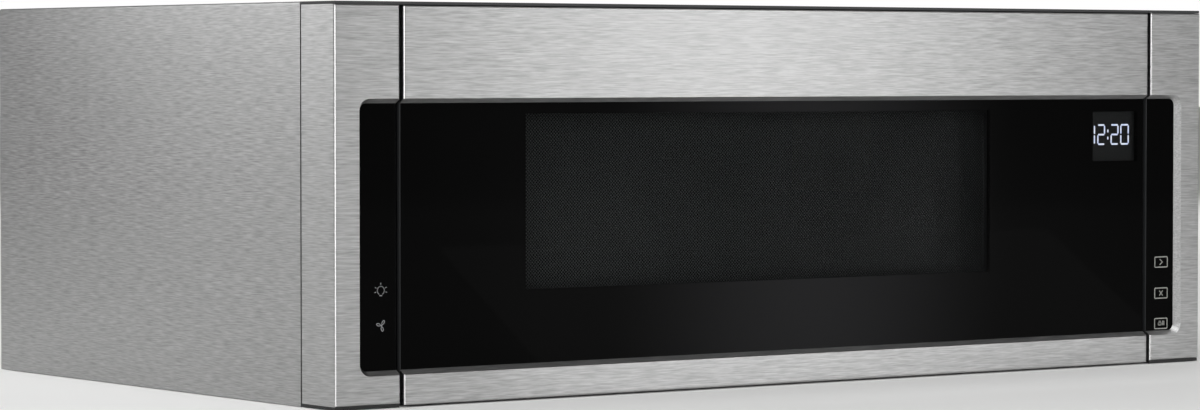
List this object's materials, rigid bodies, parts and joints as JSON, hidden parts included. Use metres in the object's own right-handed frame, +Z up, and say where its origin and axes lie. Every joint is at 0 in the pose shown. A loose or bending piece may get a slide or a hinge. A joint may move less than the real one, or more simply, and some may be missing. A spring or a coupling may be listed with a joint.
{
  "type": "over the range microwave",
  "caption": "Low-profile over the range microwave with a left-hinged glass door, touch key columns, turntable, hood blower, damper and grease filters.",
  "frame": {"origin": "under the middle of the whole part, wall plate included, on the plane of its underside", "axes": "+X to the right seen from the front, +Y to the wall behind, +Z up"},
  "size_m": [0.759, 0.457, 0.26],
  "materials": {
    "stainless_case": "brushed, horizontal grain",
    "stainless_front": "brushed, horizontal grain",
    "painted_underside": "satin dark grey paint",
    "galvanized_steel": "dull zinc-coated sheet",
    "zinc_screws": "bright zinc",
    "zinc_hinges": "zinc plated",
    "front_frame_paint": "satin black paint",
    "black_plastic": "fine matt grain",
    "control_glass": "black printed, glossy",
    "door_glass": "black printed with a tinted window",
    "circuit_board": "solder mask",
    "charcoal": "granular",
    "display_face": "smoked",
    "choke_steel": "dull steel",
    "screen_steel": "black, perforated",
    "clear_sheet": "clear",
    "latch_plastic": "white nylon",
    "switch_plastic": "black",
    "spring_steel": "spring wire",
    "cavity_enamel": "speckled grey enamel",
    "lamp_housing": "folded sheet",
    "mica": "mica sheet",
    "magnetron_metal": "fins and yoke",
    "fan_plastic": "moulded",
    "motor_steel": "laminations and case",
    "shaft_steel": "ground",
    "turntable_plastic": "heat-proof plastic",
    "plate_glass": "clear glass",
    "flap_aluminium": "thin sheet",
    "filter_aluminium": "expanded mesh",
    "lens_plastic": "frosted"
  },
  "bodies": {
    "case": {"case_top": "galvanized_steel", "case_sides": "stainless_case", "front_frame_latch_side": "front_frame_paint", "oven_floor": "cavity_enamel", "base_plate": "painted_underside", "rear_panel": "galvanized_steel", "case_screws": "zinc_screws", "wall_plate": "galvanized_steel", "front_frame": "front_frame_paint", "front_columns": "stainless_front", "control_carriers": "black_plastic", "control_glasses": "control_glass", "touch_boards": "circuit_board", "top_vent_grille": "black_plastic", "charcoal_filter": "charcoal", "cord_inlet_bushing": "black_plastic", "door_hinges": "zinc_hinges", "latch_board": "latch_plastic", "interlock_switches": "switch_plastic", "cavity_liner": "cavity_enamel", "cavity_lamp": "lamp_housing", "waveguide_cover": "mica", "waveguide": "galvanized_steel", "magnetron": "magnetron_metal", "inverter_power_supply": "circuit_board", "control_board": "circuit_board", "fan_baffle": "galvanized_steel", "fan_motor": "motor_steel", "turntable_motor": "motor_steel", "blower_housing": "galvanized_steel", "blower_motor": "motor_steel", "damper_frame": "galvanized_steel", "lamp_lenses": "lens_plastic", "cooktop_lamps": "lamp_housing"},
    "door": {"door_frame": "black_plastic", "door_top_band": "stainless_front", "door_bottom_band": "stainless_front", "door_glass": "door_glass", "display_module": "display_face", "door_choke_panel": "choke_steel", "door_screen": "screen_steel", "door_inner_window": "clear_sheet", "door_inner_cover": "black_plastic", "latch_spring": "spring_steel"},
    "latch": {"latch_hooks": "latch_plastic"},
    "plungers": {"interlock_plungers": "latch_plastic"},
    "turntable_drive": {"turntable_coupler": "turntable_plastic", "turntable_shaft": "shaft_steel"},
    "turntable_tray": {"turntable_plate": "plate_glass", "turntable_drive_studs": "plate_glass"},
    "roller_carrier": {"roller_ring": "turntable_plastic"},
    "roller_one": {"roller_1": "turntable_plastic"},
    "roller_two": {"roller_2": "turntable_plastic"},
    "roller_three": {"roller_3": "turntable_plastic"},
    "cooling_fan_rotor": {"cooling_fan": "fan_plastic"},
    "blower_rotor": {"blower_shaft": "shaft_steel", "blower_wheels": "fan_plastic"},
    "damper": {"damper_flap": "flap_aluminium"},
    "filter_left": {"grease_filter_left": "filter_aluminium"},
    "filter_right": {"grease_filter_right": "filter_aluminium"}
  },
  "joints": [
    {"name": "door_hinge", "type": "hinge", "parent": "case", "child": "door", "pos_m": [-0.321, -0.2225, 0.13], "axis": [0, 0, -1], "range_deg": [0, 105]},
    {"name": "latch_lift", "type": "slide", "parent": "door", "child": "latch", "axis": [0, 0, 1], "range_m": [0, 0.004], "stiffness_N_per_m": 300, "springref_m": -0.003, "deforming": ["latch_spring"]},
    {"name": "plunger_press", "type": "slide", "parent": "case", "child": "plungers", "axis": [0, 1, 0], "range_m": [0, 0.002], "stiffness_N_per_m": 200},
    {"name": "turntable_spin", "type": "hinge", "parent": "case", "child": "turntable_drive", "pos_m": [-0.02575, -0.025, 0.05], "axis": [0, 0, 1], "continuous": true},
    {"name": "tray_lift", "type": "slide", "parent": "turntable_drive", "child": "turntable_tray", "axis": [0, 0, 1], "range_m": [0, 0.03]},
    {"name": "roller_carrier_spin", "type": "hinge", "parent": "case", "child": "roller_carrier", "pos_m": [-0.02575, -0.025, 0.0573], "axis": [0, 0, 1], "continuous": true},
    {"name": "cooling_fan_spin", "type": "hinge", "parent": "case", "child": "cooling_fan_rotor", "pos_m": [0.318, 0.1485, 0.15], "axis": [0, 1, 0], "continuous": true},
    {"name": "blower_spin", "type": "hinge", "parent": "case", "child": "blower_rotor", "pos_m": [0, 0.1765, 0.19], "axis": [1, 0, 0], "continuous": true},
    {"name": "damper_swing", "type": "hinge", "parent": "case", "child": "damper", "pos_m": [0, 0.2047, 0.25], "axis": [-1, 0, 0], "range_deg": [0, 75]},
    {"name": "roller_one_spin", "type": "hinge", "parent": "roller_carrier", "child": "roller_one", "pos_m": [0.07125, -0.025, 0.0573], "axis": [1, 0, 0], "continuous": true},
    {"name": "roller_two_spin", "type": "hinge", "parent": "roller_carrier", "child": "roller_two", "pos_m": [-0.07425, 0.059, 0.0573], "axis": [-0.5, 0.866, 0], "continuous": true},
    {"name": "roller_three_spin", "type": "hinge", "parent": "roller_carrier", "child": "roller_three", "pos_m": [-0.07425, -0.109, 0.0573], "axis": [-0.5, -0.866, 0], "continuous": true},
    {"name": "filter_left_drop", "type": "slide", "parent": "case", "child": "filter_left", "axis": [0, 0, -1], "range_m": [0, 0.03]},
    {"name": "filter_right_drop", "type": "slide", "parent": "case", "child": "filter_right", "axis": [0, 0, -1], "range_m": [0, 0.03]}
  ],
  "couplings": [
    {"joint": "roller_carrier_spin", "follows": "turntable_spin", "ratio": 0.5},
    {"joint": "roller_one_spin", "follows": "turntable_spin", "ratio": -6.9286},
    {"joint": "roller_two_spin", "follows": "turntable_spin", "ratio": -6.9286},
    {"joint": "roller_three_spin", "follows": "turntable_spin", "ratio": -6.9286}
  ]
}
